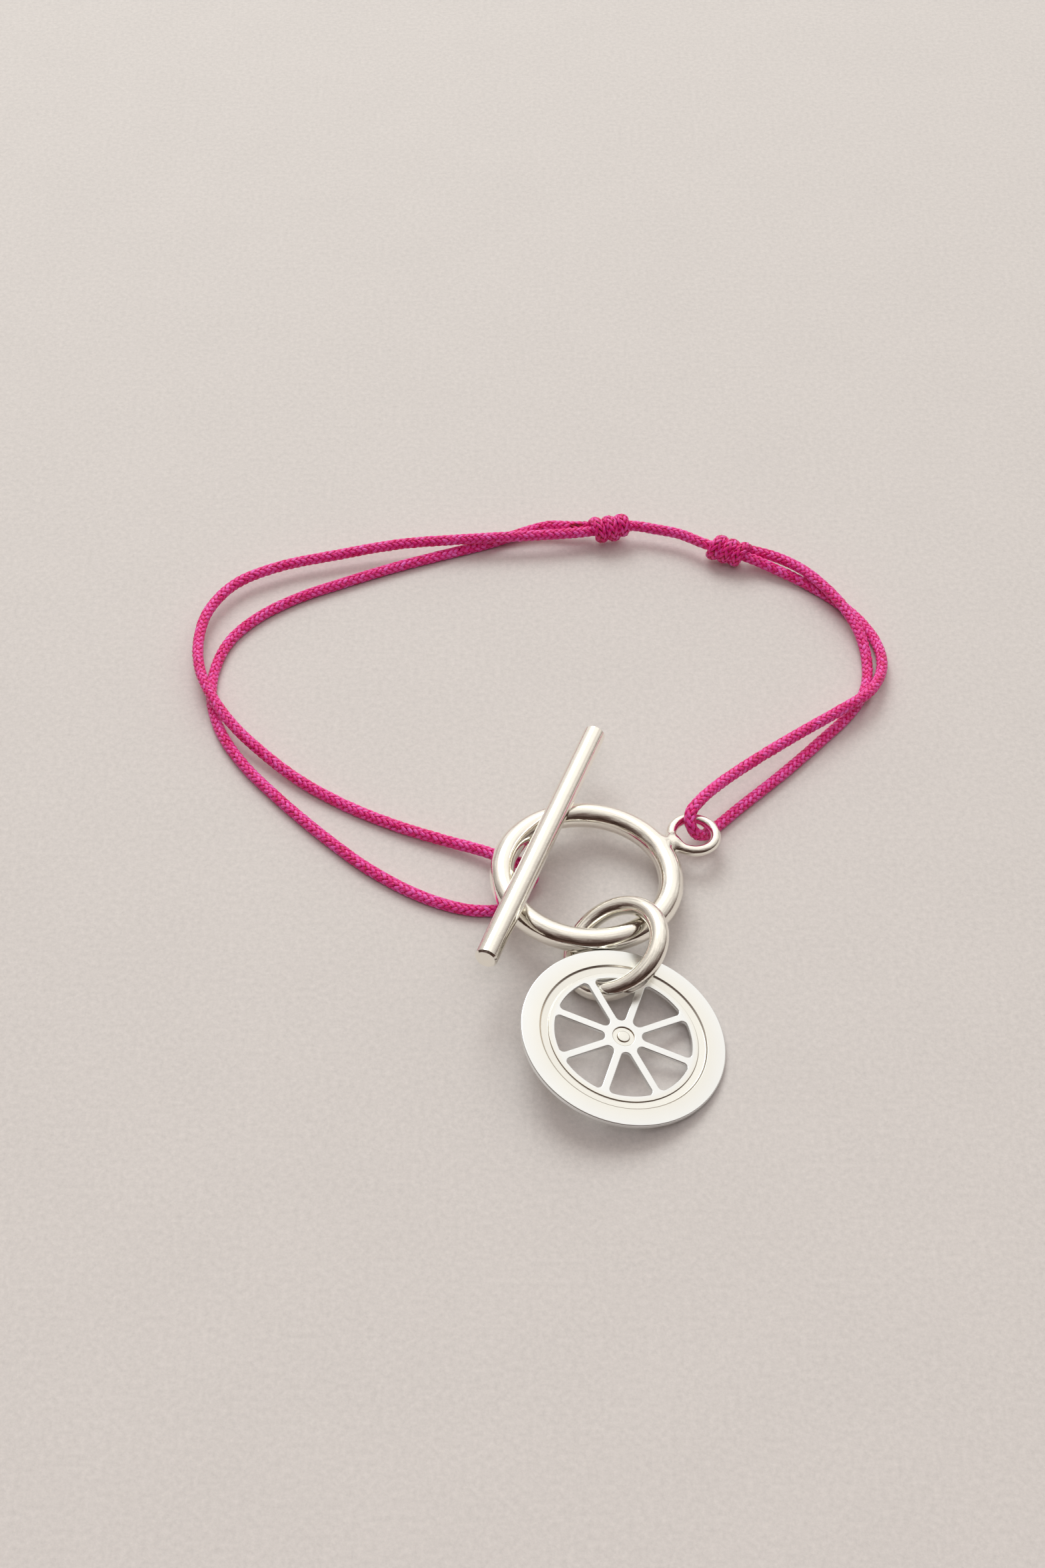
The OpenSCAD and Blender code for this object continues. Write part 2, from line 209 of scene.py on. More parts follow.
# Colours along the yarn's tone: the low end is painted shade where strands dive under, the high end a paler
# painted highlight on their crests
YARN_AND_SHADE_COLOURS = [(0.2, (0.12, 0, 0.004)), (0.57, (0.61, 0, 0.042)), (0.82, (0.92, 0.012, 0.26)),
                (1.0, (1, 0.16, 0.62))]
YARN_ROUGHNESS = (0.12, 0.28)
# Threads side by side in each strand; strength and depth of their relief and of the filaments'
THREADS = 3
THREAD_BUMP, FILAMENT_BUMP = (0.6, 0.04 * MM), (0.5, 0.03 * MM)

# Silver: tone of its darker clouds, and the depth of its ripple and of its grain
CLOUD_TONE = 0.97
RIPPLE_DEPTH, GRAIN_DEPTH = 0.05 * MM, 0.01 * MM
# Colours that it is multiplied by in hollows, as painted shade: brown on steep walls, and a little darker
# and warmer on their floors
HOLLOW_WALL_SHADE, HOLLOW_FLOOR_SHADE = (0.34, 0.21, 0.12), (0.98, 0.955, 0.9)

# Paper: its two tones, the share of the grain in them, and the strength and depth of its relief
PAPER_DARK, PAPER_PALE = (0.615, 0.576, 0.55), (0.77, 0.718, 0.685)
PAPER_GRAIN = 0.9
PAPER_BUMP = (0.25, 0.05 * MM)
FLOOR_HALF = 0.9

# The room is bright above and behind the bracelet and dark on the viewer's side: its tone for each value of
# the dot product of a direction with ROOM_SIDE
ROOM_SIDE = (0.1, 0.9, 1)
ROOM_STOPS = ((-0.9, (0.1, 0.06, 0.05)), (-0.28, (0.035, 0.02, 0.015)), (0.26, (0.15, 0.11, 0.1)),
              (0.75, (0.5, 0.46, 0.43)), (1.15, (0.93, 0.885, 0.84)), (1.34, (1, 0.96, 0.915)))
ROOM_RANGE = (-1, 1.4)
ROOM_STRENGTH = 1.12
# How much the things in the room shift that tone, and how many of them there are
CLUTTER, CLUTTER_SCALE = 1.1, 4

# Lights: places, widths in metres, power in watts and colours. The metal mirrors only the first half of the
# window's light, and not the fill
LIGHTS_TARGET = (0, -0.01, 0)
WINDOW_AT, WINDOW_WIDTH, WINDOW_COLOUR = (-0.113, 0.444, 0.52), 0.46, (0.92, 1, 1)
WINDOW_POWER, GLOW_POWER = 1.2, 1.05
FILL_AT, FILL_WIDTH, FILL_POWER, FILL_COLOUR = (0, -0.36, 0.606), 0.35, 0.7, (1, 0.98, 1.05)


def link(obj):
    """Puts an object in the scene and returns it."""
    bpy.context.scene.collection.objects.link(obj)
    return obj


def mesh_object(name, verts, faces):
    """A smooth mesh object from points and faces."""
    mesh = bpy.data.meshes.new(name)
    mesh.from_pydata(np.asarray(verts).tolist(), [], [tuple(f) for f in faces])
    mesh.polygons.foreach_set("use_smooth", [True] * len(mesh.polygons))
    mesh.update()
    return link(bpy.data.objects.new(name, mesh))


def turned(x, y, z):
    """Rotation about X, then Y, then Z, in degrees."""
    def about(angle, axis):
        return Matrix.Rotation(math.radians(angle), 4, axis)
    return about(z, "Z") @ about(y, "Y") @ about(x, "X")


def place(obj, matrix):
    """Puts an object's mesh where it belongs, so that the object itself stays at the origin."""
    obj.data.transform(matrix)
    obj.data.update()


def ring_place():
    """Where the toggle ring's own frame lies."""
    return Matrix.Translation(RING_AT) @ turned(*RING_TURN)


def bar_place():
    """Where the toggle bar's own frame lies, with its length along X."""
    return Matrix.Translation(BAR_AT) @ turned(0, BAR_DIP, BAR_HEADING)


def bar_eye_place():
    """Where the bar's eye is in the bar's own frame."""
    return turned(BAR_EYE_LEAN, 0, 0) @ Matrix.Translation((0, 0, -BAR_EYE_DOWN)) @ turned(90, 0, 0)


def wheel_tilt():
    """How the wheel leans."""
    return turned(WHEEL_TURN[0], WHEEL_TURN[1], 0)


def eye_way():
    """Unit vector from the toggle ring's middle to its eye's, in the ring's own frame."""
    bearing = math.radians(EYE_BEARING)
    return math.cos(bearing), math.sin(bearing), 0


def make_camera():
    """The photo's camera."""
    data = bpy.data.cameras.new("camera")
    data.lens = CAMERA_LENS
    data.sensor_width = CAMERA_SENSOR
    data.clip_start = CAMERA_CLIP
    camera = link(bpy.data.objects.new("camera", data))
    back = Vector((0, -math.cos(CAMERA_DOWN), math.sin(CAMERA_DOWN)))
    camera.location = CAMERA_TARGET + CAMERA_DISTANCE * back
    camera.rotation_euler = (-back).to_track_quat("-Z", "Y").to_euler()
    bpy.context.scene.camera = camera


# Materials

class Nodes:
    """Builds the nodes of a procedural material or of the world, round the shader that is there already."""

    def __init__(self, owner, shader="Principled BSDF"):
        owner.use_nodes = True
        self.tree = owner.node_tree
        self.shader = self.tree.nodes[shader]

    def add(self, kind, **values):
        """Adds a node; a value is set on the node itself or on its input socket of that name."""
        node = self.tree.nodes.new(kind)
        for key, value in values.items():
            if hasattr(node, key):
                setattr(node, key, value)
            else:
                node.inputs[key.replace("_", " ")].default_value = value
        return node

    def wire(self, out, target):
        """Links an output to an input."""
        self.tree.links.new(out, target)

    def noise(self, place, **values):
        """A noise texture's value at a place."""
        node = self.add("ShaderNodeTexNoise", **values)
        self.wire(place, node.inputs["Vector"])
        return node.outputs["Fac"]

    def attribute(self, name):
        """A mesh attribute's node."""
        return self.add("ShaderNodeAttribute", attribute_name=name)

    def dot(self, vector, way):
        """Dot product of a vector with a fixed one."""
        node = self.add("ShaderNodeVectorMath", operation="DOT_PRODUCT")
        self.wire(vector, node.inputs[0])
        node.inputs[1].default_value = way
        return node.outputs["Value"]

    def math(self, operation, a, b=0):
        """A math node; a and b are sockets or numbers."""
        node = self.add("ShaderNodeMath", operation=operation)
        for socket, value in zip(node.inputs, (a, b)):
            if isinstance(value, (int, float)):
                socket.default_value = value
            else:
                self.wire(value, socket)
        return node.outputs[0]

    def blend(self, a, b, share):
        """Sum of two values, of which b has that share."""
        return self.math("ADD", self.math("MULTIPLY", a, 1 - share), self.math("MULTIPLY", b, share))

    def ramp(self, factor, stops):
        """A colour ramp from a factor; stops are (place, colour)."""
        node = self.add("ShaderNodeValToRGB")
        elements = node.color_ramp.elements
        while len(elements) < len(stops):
            elements.new(0.5)
        for element, (where, colour) in zip(elements, stops):
            element.position = where
            element.color = (*colour, 1)
        self.wire(factor, node.inputs[0])
        return node.outputs[0]

    def span(self, value, low, high, to_low, to_high):
        """Maps a value from one range to another."""
        node = self.add("ShaderNodeMapRange")
        for socket, number in zip(node.inputs[1:5], (low, high, to_low, to_high)):
            socket.default_value = number
        self.wire(value, node.inputs[0])
        return node.outputs[0]

    def bump(self, height, strength, distance, normal=None):
        """Relief from a height, on top of another relief's normal where one is given."""
        node = self.add("ShaderNodeBump", Strength=strength, Distance=distance)
        self.wire(height, node.inputs["Height"])
        if normal:
            self.wire(normal, node.inputs["Normal"])
        return node.outputs[0]

    def set(self, **values):
        """Sets constants on the shader's own sockets."""
        for key, value in values.items():
            self.shader.inputs[key.replace("_", " ")].default_value = value


def cord_material():
    """Satin fuchsia yarn: fine filaments along each strand, with painted shade where a strand dives under
    and a paler painted highlight on its crests.
    """
    material = bpy.data.materials.new("fuchsia_cord")
    m = Nodes(material)
    parts = m.add("ShaderNodeSeparateXYZ")
    m.wire(m.attribute("yarn").outputs["Vector"], parts.inputs[0])
    along, across, seed = parts.outputs
    shade_lift = m.attribute("shade_lift").outputs["Fac"]

    lines = m.add("ShaderNodeCombineXYZ")
    for value, stretch, socket in zip((along, across, seed), FILAMENT_STRETCH, lines.inputs):
        m.wire(m.math("MULTIPLY", value, stretch), socket)
    filament = m.noise(lines.outputs[0], Scale=2.2, Detail=2.5, Roughness=0.6)
    blotch = m.noise(m.add("ShaderNodeTexCoord").outputs["Object"], Scale=260, Detail=2)

    # Painted shade and highlight from each strand's lift, with random tone from the filaments and blotches
    shade = m.math("MULTIPLY", shade_lift, LIFT_SHADE_SHARE)
    shade = m.math("ADD", shade, m.math("MULTIPLY", filament, FILAMENT_SHARE))
    shade = m.math("ADD", shade, m.math("MULTIPLY", blotch, BLOTCH_SHARE))
    m.wire(m.ramp(shade, YARN_AND_SHADE_COLOURS), m.shader.inputs["Base Color"])
    m.wire(m.span(filament, 0.3, 0.7, *YARN_ROUGHNESS), m.shader.inputs["Roughness"])
    m.wire(m.attribute("weft").outputs["Vector"], m.shader.inputs["Tangent"])

    # The threads side by side in each strand, and the fine filaments in them
    wave = m.math("ADD", m.math("MULTIPLY", across, THREADS / 2 * math.pi), seed)
    threads = m.bump(m.math("ABSOLUTE", m.math("SINE", wave)), *THREAD_BUMP)
    m.wire(m.bump(filament, *FILAMENT_BUMP, threads), m.shader.inputs["Normal"])
    m.set(Sheen_Weight=0.03, Sheen_Roughness=0.4, Sheen_Tint=(1, 0.5, 0.85, 1), Anisotropic=0.3,
          Specular_IOR_Level=0.66, Specular_Tint=(1, 0.82, 1, 1))
    return material


def metal_material(name, colour, rough, spread, grain_scale, grain_bump, ripple_bump, axis=None):
    """Silver with a slight variation of tone and gloss, a fine grain, and the unevenness of hand polishing.

    Where axis is given, the places that the mesh calls hollow get painted shade: brown on walls that are
    steep to it, and a little darker on floors that face it.
    """
    material = bpy.data.materials.new(name)
    m = Nodes(material)
    coords = m.add("ShaderNodeTexCoord").outputs["Object"]
    cloud = m.noise(coords, Scale=140, Detail=3)
    grain = m.noise(coords, Scale=grain_scale, Detail=4, Roughness=0.65)
    ripple = m.noise(coords, Scale=700, Detail=4, Roughness=0.6)

    tone = m.ramp(cloud, [(0.3, tuple(CLOUD_TONE * part for part in colour)), (0.65, colour)])
    if axis:
        # Painted shade in the hollows: brown on steep walls, a little darker on floors that face the axis
        facing = m.dot(m.add("ShaderNodeNewGeometry").outputs["Normal"], axis)
        hollow_shade = m.add("ShaderNodeMix", data_type="RGBA", blend_type="MULTIPLY")
        m.wire(m.attribute("hollow").outputs["Fac"], hollow_shade.inputs["Factor"])
        m.wire(tone, hollow_shade.inputs["A"])
        m.wire(m.ramp(facing, [(0.3, HOLLOW_WALL_SHADE), (0.96, HOLLOW_FLOOR_SHADE)]), hollow_shade.inputs["B"])
        tone = hollow_shade.outputs["Result"]
    m.wire(tone, m.shader.inputs["Base Color"])

    gloss = m.span(m.blend(cloud, grain, 0.5), 0.35, 0.65, rough - spread, rough + spread)
    m.wire(gloss, m.shader.inputs["Roughness"])
    uneven = m.bump(ripple, ripple_bump, RIPPLE_DEPTH)
    m.wire(m.bump(grain, grain_bump, GRAIN_DEPTH, uneven), m.shader.inputs["Normal"])
    m.set(Metallic=1.0)
    return material


def paper_material():
    """Plain pale backdrop paper with a faint grain."""
    material = bpy.data.materials.new("paper")
    m = Nodes(material)
    coords = m.add("ShaderNodeTexCoord").outputs["Object"]
    cloud = m.noise(coords, Scale=90, Detail=3)
    grain = m.noise(coords, Scale=1800, Detail=3, Roughness=0.8)
    tone = m.ramp(m.blend(cloud, grain, PAPER_GRAIN), [(0.25, PAPER_DARK), (0.75, PAPER_PALE)])
    m.wire(tone, m.shader.inputs["Base Color"])
    m.wire(m.bump(grain, *PAPER_BUMP), m.shader.inputs["Normal"])
    m.set(Roughness=0.85, Specular_IOR_Level=0.3)
    return material


# The braided cord

def bore_line(mid, turn):
    """Points of the straight stretch through a knot."""
    dip, bearing = (math.radians(angle) for angle in turn)
    way = np.array([math.cos(dip) * math.cos(bearing), math.cos(dip) * math.sin(bearing), -math.sin(dip)])
    return [tuple(np.array(mid) + part * KNOT_LEAD * way) for part in (-1, -0.5, 0, 0.5, 1)]


def distances_along(points):
    """Distance of each point of a polyline from its start, along the line."""
    return np.concatenate([[0], np.cumsum(np.linalg.norm(np.diff(points, axis=0), axis=1))])


def even_samples(points, step):
    """Points spaced evenly along a polyline."""
    lengths = distances_along(points)
    count = int(round(lengths[-1] / step)) + 1
    at = np.linspace(0, lengths[-1], count)
    return np.stack([np.interp(at, lengths, points[:, k]) for k in range(3)], axis=1)


def smooth_path(points, step, soften):
    """Centripetal Catmull-Rom curve through the points, as evenly spaced samples.

    soften is the length over which the samples are then averaged.
    """
    pts = np.asarray(points, float)
    pts = np.vstack([2 * pts[0] - pts[1], pts, 2 * pts[-1] - pts[-2]])
    curve = []
    for p0, p1, p2, p3 in zip(pts, pts[1:], pts[2:], pts[3:]):
        t1 = math.sqrt(np.linalg.norm(p1 - p0))
        t2 = t1 + math.sqrt(np.linalg.norm(p2 - p1))
        t3 = t2 + math.sqrt(np.linalg.norm(p3 - p2))
        t = np.linspace(t1, t2, CURVE_PARTS, endpoint=False)[:, None]
        a1 = (t1 - t) / t1 * p0 + t / t1 * p1
        a2 = (t2 - t) / (t2 - t1) * p1 + (t - t1) / (t2 - t1) * p2
        a3 = (t3 - t) / (t3 - t2) * p2 + (t - t2) / (t3 - t2) * p3
        b1 = (t2 - t) / t2 * a1 + t / t2 * a2
        b2 = (t3 - t) / (t3 - t1) * a2 + (t - t1) / (t3 - t1) * a3
        curve.append((t2 - t) / (t2 - t1) * b1 + (t - t1) / (t2 - t1) * b2)
    curve = np.vstack(curve + [pts[-2:-1]])
    curve = even_samples(curve, step)
    reach = int(soften / step)
    padded = np.vstack([2 * curve[0] - curve[reach:0:-1], curve, 2 * curve[-1] - curve[-2:-2 - reach:-1]])
    weights = np.hanning(2 * reach + 3)[1:-1]
    weights /= weights.sum()
    curve = np.stack([np.convolve(padded[:, k], weights, "valid") for k in range(3)], axis=1)
    return even_samples(curve, step)


def carried_sides(samples, side):
    """Unit tangents and side vectors along a path, carried from the first one so that they do not twist."""
    tangents = np.gradient(samples, axis=0)
    tangents /= np.linalg.norm(tangents, axis=1)[:, None]
    side = np.cross(tangents[0], (0, 0, 1)) if side is None else side - (side @ tangents[0]) * tangents[0]
    side = side / np.linalg.norm(side)
    sides = [side]
    for k in range(len(samples) - 1):
        step = samples[k + 1] - samples[k]
        size = step @ step
        mirrored = side - 2 / size * (step @ side) * step
        turned_t = tangents[k] - 2 / size * (step @ tangents[k]) * step
        gap = tangents[k + 1] - turned_t
        side = mirrored - 2 / (gap @ gap + LEAST_SQUARE) * (gap @ mirrored) * gap
        sides.append(side)
    return tangents, np.array(sides)


class Track:
    """A cord's centre line with its side vectors, read at any distance along it.

    press holds a vector for each sample: its direction is the one in which the cord is pressed flat, and its
    length the share of the thickness that is lost. start is the length of cord before the line.
    """

    def __init__(self, samples, press, side=None, start=0):
        self.points = samples
        self.at = distances_along(samples)
        self.length = self.at[-1]
        tangents, self.u = carried_sides(samples, side)
        self.v = np.cross(tangents, self.u)
        self.start = start
        self.press = press

    def read(self, values, where):
        """The samples' values at any distances along the line."""
        return np.stack([np.interp(where, self.at, values[:, k]) for k in range(3)], axis=1)

    def around(self, where, angle, radius):
        """Points at an angle and radius round the centre line, and the outward direction there."""
        per_sample = (self.points, self.u, self.v, self.press)
        centre, u, v, press = (self.read(values, where) for values in per_sample)
        out = np.cos(angle)[:, None] * u + np.sin(angle)[:, None] * v
        share = np.linalg.norm(press, axis=1)[:, None]
        way = press / np.maximum(share, LEAST_SHARE)
        radial = (out * way).sum(axis=1)[:, None] * way
        flat = (1 + PRESS_SPREAD * share) * (out - radial) + (1 - share) * radial
        return centre + radius[:, None] * flat, out


def tube_faces(rings, sides, first):
    """Quads of a tube whose points start at index first, closed by a face at each end."""
    ring, side = np.meshgrid(np.arange(rings - 1), np.arange(sides), indexing="ij")
    a = first + ring * sides + side
    b = first + ring * sides + (side + 1) % sides
    quads = np.stack([a, a + sides, b + sides, b], axis=-1).reshape(-1, 4).tolist()
    start = list(range(first, first + sides))
    end = list(range(first + (rings - 1) * sides, first + rings * sides))
    return quads + [start, end[::-1]]


def strand(track, hand, index):
    """Points, yarn coordinates, lift and weft of one braid strand; hand is 1 or -1. The lift paints the
    strand with shade where it dives under and a paler highlight on its crest.
    """
    length = 2 * STITCH
    phase = PHASE[hand] + index / 2
    end = track.start + track.length
    spare = 2
    first = int(track.start / length) - spare
    waves = np.arange(first, first + int(track.length / length) + 2 * spare + 1)
    where = ((waves[:, None] + np.array(RING_PLACES)[None, :] + phase) * length).ravel()
    where = where[(where > track.start) & (where < end)]
    where = np.concatenate([[track.start], where, [end]])
    wave = np.cos(2 * math.pi * (where / length - phase))
    wave = np.tanh(WAVE_SHARPNESS * wave) / math.tanh(WAVE_SHARPNESS)

    # Uneven by numbers drawn twice a wave
    draws = 2 * len(waves)
    random = np.random.default_rng(index if hand > 0 else STRANDS + index)
    spots = random.normal(0, 1, (3, draws))
    at_wave = where / length - first
    slack, drift, tone = (np.interp(at_wave, np.arange(draws) / 2, row) for row in spots)
    angle = 2 * math.pi * (index / STRANDS + hand * where / BRAID_LEAD) + UNEVEN_ANGLE * drift
    radius = STRAND_MID + STRAND_SWING * wave + UNEVEN_OUT * slack

    centre, out = track.around(where - track.start, angle, radius)
    way = np.gradient(centre, axis=0)
    way /= np.linalg.norm(way, axis=1)[:, None]
    across = np.cross(way, out)
    across /= np.linalg.norm(across, axis=1)[:, None]
    up = np.cross(across, way)
    width = STRAND_W / 2 * (1 - NARROWING + NARROWING * wave)
    section = np.array(STRAND_SECTION)
    points = (centre[:, None, :]
              + section[None, :, 0, None] * width[:, None, None] * across[:, None, :]
              + section[None, :, 1, None] * STRAND_T / 2 * up[:, None, :])
    sides = len(section)
    yarn = np.empty((len(where), sides, 3))
    yarn[:, :, 0] = where[:, None] / MM
    yarn[:, :, 1] = section[None, :, 0]
    yarn[:, :, 2] = index + YARN_SEED[hand]
    # The lift, which the material paints as shade where the strand dives under and as a highlight on its
    # crest, with a random tone
    shade_lift = np.repeat((0.5 + 0.5 * wave + UNEVEN_TONE * tone)[:, None], sides, axis=1)
    weft = np.repeat(across[:, None, :], sides, axis=1)
    return points.reshape(-1, 3), yarn.reshape(-1, 3), shade_lift.ravel(), weft.reshape(-1, 3)


def core(track):
    """Points, yarn coordinates, lift and weft of the core that fills the braid; its low lift paints it dark
    as shade where it shows between the strands.
    """
    where = np.linspace(CORE_INSET, track.length - CORE_INSET, int(track.length / CORE_STEP))
    rows = []
    for k in range(CORE_SIDES):
        angle = np.full(len(where), -2 * math.pi * k / CORE_SIDES)
        rows.append(track.around(where, angle, np.full(len(where), CORE_R))[0])
    points = np.stack(rows, axis=1).reshape(-1, 3)
    yarn = np.zeros((len(points), 3))
    yarn[:, 0] = np.repeat(where / MM, CORE_SIDES)
    return points, yarn, np.full(len(points), CORE_SHADE), np.tile((0.0, 0.0, 1.0), (len(points), 1))


def pressed_at_eyes(samples):
    """How the cord is pressed flat where it is folded tightly round the wire of the two eyes."""
    press = np.zeros_like(samples)
    ring_eye = ring_place() @ Matrix.Translation(EYE_OUT * Vector(eye_way()))
    bar_eye = bar_place() @ bar_eye_place()
    for matrix, r, wire in ((ring_eye, EYE_R, EYE_WIRE), (bar_eye, BAR_EYE_R, BAR_EYE_WIRE)):
        frame_of, centre = np.array(matrix)[:3, :3], np.array(matrix)[:3, 3]
        local = (samples - centre) @ frame_of
        flat = np.hypot(local[:, 0], local[:, 1])[:, None]
        on_wire = np.concatenate([local[:, :2] / flat * r, np.zeros((len(local), 1))], axis=1)
        away = local - on_wire
        distance = np.linalg.norm(away, axis=1)[:, None]
        share = EYE_PRESS * np.clip((wire / 2 + PRESS_REACH - distance) / PRESS_FADE, 0, 1)
        press += away / distance @ frame_of.T * share
    return press


def braid(name, track, hands, with_core):
    """One mesh of the strands that run one way or both ways round the cord."""
    tubes = [(strand(track, hand, k), len(STRAND_SECTION)) for hand in hands for k in range(STRANDS)]
    if with_core:
        tubes.append((core(track), CORE_SIDES))
    verts, faces, yarns, shade_lifts, wefts, first = [], [], [], [], [], 0
    for (points, yarn, shade_lift, weft), sides in tubes:
        verts.append(points)
        yarns.append(yarn)
        shade_lifts.append(shade_lift)
        wefts.append(weft)
        faces += tube_faces(len(points) // sides, sides, first)
        first += len(points)
    obj = mesh_object(name, np.vstack(verts), faces)
    yarn = obj.data.attributes.new("yarn", "FLOAT_VECTOR", "POINT")
    yarn.data.foreach_set("vector", np.vstack(yarns).ravel())
    weft = obj.data.attributes.new("weft", "FLOAT_VECTOR", "POINT")
    weft.data.foreach_set("vector", np.vstack(wefts).ravel())
    # This attribute carries the painted shade and highlight of the strands
    shade_lift = obj.data.attributes.new("shade_lift", "FLOAT", "POINT")
    shade_lift.data.foreach_set("value", np.concatenate(shade_lifts))
    return obj


def wraps_track(mid, turn, tail, rows):
    """A knot's wraps as one line from the tail round the bore: its samples and their press vectors.

    rows are (angle, x, radius) in the knot's frame, where the angle goes from the back over the top. tail is
    the cord's samples, with its end as the last one.
    """
    dip, bearing = turn
    matrix = Matrix.Translation(Vector(mid)) @ turned(0, dip, bearing)
    angles, xs, radii = np.array(rows).T
    count = int(abs(angles[-1] - angles[0]) / WRAP_TURN) + 1
    sweep = np.linspace(0, 1, count)
    progress = (angles - angles[0]) / (angles[-1] - angles[0])
    phi = np.radians(np.interp(sweep, progress, angles))
    x, r = np.interp(sweep, progress, xs), np.interp(sweep, progress, radii)
    helix = np.stack([x, r * np.cos(phi), r * np.sin(phi)], axis=1)
    turn_part, move = np.array(matrix)[:3, :3], np.array(matrix)[:3, 3]
    way = (tail[-1] - tail[-2]) / np.linalg.norm(tail[-1] - tail[-2])
    line = np.vstack([tail[-1:], tail[-1:] + TAIL_RUN * way, helix @ turn_part.T + move])
    points = smooth_path(line, WRAP_STEP, WRAP_SOFTEN)
    local = (points - move) @ turn_part
    local[:, 0] = 0
    distance = np.linalg.norm(local, axis=1)[:, None]
    press = local / distance @ turn_part.T
    along = np.linspace(0, 1, len(points))[:, None]
    return points, press * WRAP_PRESS * np.clip(along / WRAP_PRESS_FROM - 1, 0, 1)


# Metal shapes

def lathe(profile, segments, loop):
    """Points and faces of a profile of (r, z) turned about Z.

    A profile that is not a loop starts and ends on the axis.
    """
    inner = profile if loop else profile[1:-1]
    count = len(inner)
    angles = np.linspace(0, 2 * math.pi, segments, endpoint=False)
    r = np.array([p[0] for p in inner])[:, None]
    z = np.array([p[1] for p in inner])[:, None]
    points = np.stack([r * np.cos(angles), r * np.sin(angles), z + 0 * angles], axis=-1).reshape(-1, 3)
    faces = []
    for k in range(count if loop else count - 1):
        a, b = k * segments, (k + 1) % count * segments
        faces += [(a + s, a + (s + 1) % segments, b + (s + 1) % segments, b + s) for s in range(segments)]
    if not loop:
        last = (count - 1) * segments
        points = np.vstack([points, [(0, 0, profile[0][1]), (0, 0, profile[-1][1])]])
        top, bottom = count * segments, count * segments + 1
        faces += [(top, (s + 1) % segments, s) for s in range(segments)]
        faces += [(bottom, last + s, last + (s + 1) % segments) for s in range(segments)]
    return points, faces


def wire_ring(name, r, wire, points):
    """A ring of round wire in the XY plane; points are how many it has round the wire and round the ring."""
    angles = [2 * math.pi * k / points[0] for k in range(points[0])]
    profile = [(r + wire / 2 * math.cos(angle), wire / 2 * math.sin(angle)) for angle in angles]
    return mesh_object(name, *lathe(profile, points[1], True))


def rounded(corners, count):
    """A profile whose corners (x, y, radius) are rounded by count points each."""
    out = []
    size = len(corners)
    for k, (x, y, radius) in enumerate(corners):
        here = np.array((x, y))
        if radius == 0:
            out.append((x, y))
            continue
        before = np.array(corners[k - 1][:2]) - here
        after = np.array(corners[(k + 1) % size][:2]) - here
        before /= np.linalg.norm(before)
        after /= np.linalg.norm(after)
        half = math.acos(max(-1, min(1, before @ after))) / 2
        reach = radius / math.tan(half)
        centre = here + (before + after) / np.linalg.norm(before + after) * radius / math.sin(half)
        a = here + before * reach - centre
        b = here + after * reach - centre
        turn = math.acos(max(-1, min(1, a @ b / radius ** 2)))
        for i in range(count):
            t = i / (count - 1)
            arm = (math.sin((1 - t) * turn) * a + math.sin(t * turn) * b) / math.sin(turn)
            out.append(tuple(centre + arm))
    return out


def apply_modifiers(obj):
    """Turns an object's modifiers into its mesh."""
    bpy.context.view_layer.update()
    evaluated = obj.evaluated_get(bpy.context.evaluated_depsgraph_get())
    mesh = bpy.data.meshes.new_from_object(evaluated)
    obj.modifiers.clear()
    old = obj.data
    obj.data = mesh
    bpy.data.meshes.remove(old)


def joined_solid(obj, others, sharp_angle):
    """Joins closed meshes to the first one, with flat faces shaded flat. It works in millimetres."""
    for piece in [obj] + others:
        place(piece, Matrix.Scale(1 / MM, 4))
    for other in others:
        union = obj.modifiers.new("union", "BOOLEAN")
        union.operation = "UNION"
        union.solver = "EXACT"
        union.object = other
    obj.modifiers.new("weld", "WELD").merge_threshold = MERGE
    apply_modifiers(obj)
    obj.data.polygons.foreach_set("use_smooth", [True] * len(obj.data.polygons))
    obj.data.set_sharp_from_angle(angle=math.radians(sharp_angle))
    flat = obj.modifiers.new("flat_faces", "WEIGHTED_NORMAL")
    flat.keep_sharp = True
    flat.weight = FLAT_WEIGHT
    apply_modifiers(obj)
    place(obj, Matrix.Scale(MM, 4))
    for other in others:
        bpy.data.objects.remove(other)


def smooth_min(a, b, reach):
    """Smallest of two distances, blended where they are within reach of each other."""
    h = np.maximum(reach - np.abs(a - b), 0) / reach
    return np.minimum(a, b) - h * h * reach / 4


def torus_distance(p, centre, r, wire):
    """Distance of points from the surface of a ring of round wire in the XY plane."""
    flat = np.hypot(p[:, 0] - centre[0], p[:, 1] - centre[1]) - r
    return np.hypot(flat, p[:, 2] - centre[2]) - wire / 2


def toggle_ring_distance(p):
    """Distance from the toggle ring's surface, in its own frame: ring, eye and neck with solder fillets."""
    way = np.array(eye_way())
    ring = torus_distance(p, (0, 0, 0), RING_R, RING_WIRE)
    eye = torus_distance(p, EYE_OUT * way, EYE_R, EYE_WIRE)
    along = np.clip(p @ way, NECK_FROM, NECK_TO)
    neck = np.linalg.norm(p - along[:, None] * way, axis=1) - NECK_R
    return smooth_min(smooth_min(ring, neck, SOLDER), eye, SOLDER)


